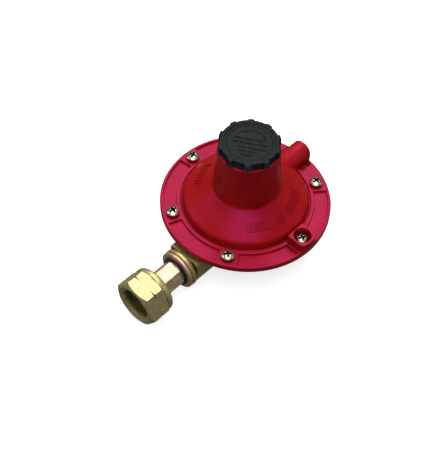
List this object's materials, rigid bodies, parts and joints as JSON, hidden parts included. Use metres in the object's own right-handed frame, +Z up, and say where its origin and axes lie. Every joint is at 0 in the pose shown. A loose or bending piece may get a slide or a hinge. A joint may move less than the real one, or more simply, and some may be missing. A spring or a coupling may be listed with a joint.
{
  "type": "gas pressure regulator",
  "caption": "Spring-loaded diaphragm gas regulator: red flanged dome and tower, charcoal screw cap, side vent boss, plated inlet nipple with hexagonal union nut.",
  "frame": {"origin": "centre of the flat base face, on the axis of the spring tower", "axes": "+Z up the spring tower; -X out of the inlet union nut; +X out of the vent and outlet ports"},
  "size_m": [0.1469, 0.105, 0.0858],
  "materials": {
    "red_paint": "glossy red enamel over a die casting",
    "charcoal_plastic": "moulded charcoal plastic, satin",
    "zinc_yellow": "yellow-passivated zinc plating, iridescent",
    "zinc_screw": "pale zinc-plated steel",
    "spring_steel": "drawn steel wire and pressed steel",
    "brass": "machined brass",
    "rubber": "black nitrile rubber"
  },
  "bodies": {
    "housing": {"upper_cover": "red_paint", "lower_body": "red_paint", "flange_screws": "zinc_screw", "sealed_screw": "zinc_screw", "lock_washers": "zinc_screw", "main_spring": "spring_steel", "diaphragm": "rubber", "lever_pin": "spring_steel", "pin_clips": "spring_steel", "nozzle": "brass", "nozzle_seal": "brass", "inlet_block": "zinc_yellow", "block_gasket": "rubber", "nipple_washer": "zinc_yellow", "nipple_seal": "rubber", "inlet_nipple": "zinc_yellow", "nut_retaining_ring": "spring_steel", "nose_seal": "rubber", "inlet_filter": "spring_steel", "filter_clip": "spring_steel", "vent_screen": "brass", "vent_retainer": "spring_steel"},
    "cap_seal_ring": {"cap_seal": "rubber"},
    "cap": {"closing_cap": "charcoal_plastic"},
    "spring_seat": {"upper_spring_seat": "spring_steel"},
    "adjusting_disc": {"adjuster": "charcoal_plastic"},
    "stem": {"diaphragm_stem": "brass", "relief_nut": "brass", "relief_spring": "spring_steel"},
    "plate": {"diaphragm_plate": "spring_steel", "diaphragm_washer": "spring_steel"},
    "valve_lever": {"lever": "spring_steel"},
    "valve": {"valve_holder": "brass", "valve_disc": "rubber"},
    "nut_washer": {"thrust_washer": "spring_steel"},
    "inlet_nut": {"union_nut": "zinc_yellow"}
  },
  "joints": [
    {"name": "cap_lift", "type": "slide", "parent": "housing", "child": "cap_seal_ring", "axis": [0, 0, 1], "range_m": [0, 0.009]},
    {"name": "cap_turn", "type": "hinge", "parent": "cap_seal_ring", "child": "cap", "pos_m": [0, 0, 0.0806], "axis": [0, 0, 1], "range_deg": [0, 2161]},
    {"name": "adjuster_travel", "type": "slide", "parent": "housing", "child": "spring_seat", "axis": [0, 0, -1], "range_m": [0, 0.006], "deforming": ["main_spring"]},
    {"name": "adjuster_turn", "type": "hinge", "parent": "spring_seat", "child": "adjusting_disc", "pos_m": [0, 0, 0.0655], "axis": [0, 0, -1], "range_deg": [0, 1441]},
    {"name": "diaphragm_travel", "type": "slide", "parent": "housing", "child": "stem", "axis": [0, 0, 1], "range_m": [0, 0.0025], "stiffness_N_per_m": 300, "springref_m": -0.002, "deforming": ["main_spring", "diaphragm"]},
    {"name": "relief_lift", "type": "slide", "parent": "stem", "child": "plate", "axis": [0, 0, 1], "range_m": [0, 0.0015], "stiffness_N_per_m": 300, "springref_m": -0.002, "deforming": ["relief_spring"]},
    {"name": "lever_swing", "type": "hinge", "parent": "housing", "child": "valve_lever", "pos_m": [-0.013, 0, 0.0105], "axis": [0, -1, 0], "range_deg": [0, 11.1]},
    {"name": "valve_travel", "type": "slide", "parent": "housing", "child": "valve", "axis": [-1, 0, 0], "range_m": [0, 0.0013]},
    {"name": "nut_slide", "type": "slide", "parent": "housing", "child": "nut_washer", "axis": [-1, 0, 0], "range_m": [0, 0.0014]},
    {"name": "nut_spin", "type": "hinge", "parent": "nut_washer", "child": "inlet_nut", "pos_m": [-0.0848, 0, 0.0171], "axis": [1, 0, 0], "continuous": true}
  ],
  "couplings": [
    {"joint": "cap_turn", "follows": "cap_lift", "rad_per_m": 4188.8},
    {"joint": "adjuster_turn", "follows": "adjuster_travel", "rad_per_m": 4188.8},
    {"joint": "lever_swing", "follows": "diaphragm_travel", "rad_per_m": 76.923},
    {"joint": "valve_travel", "follows": "diaphragm_travel", "ratio": 0.50769}
  ]
}
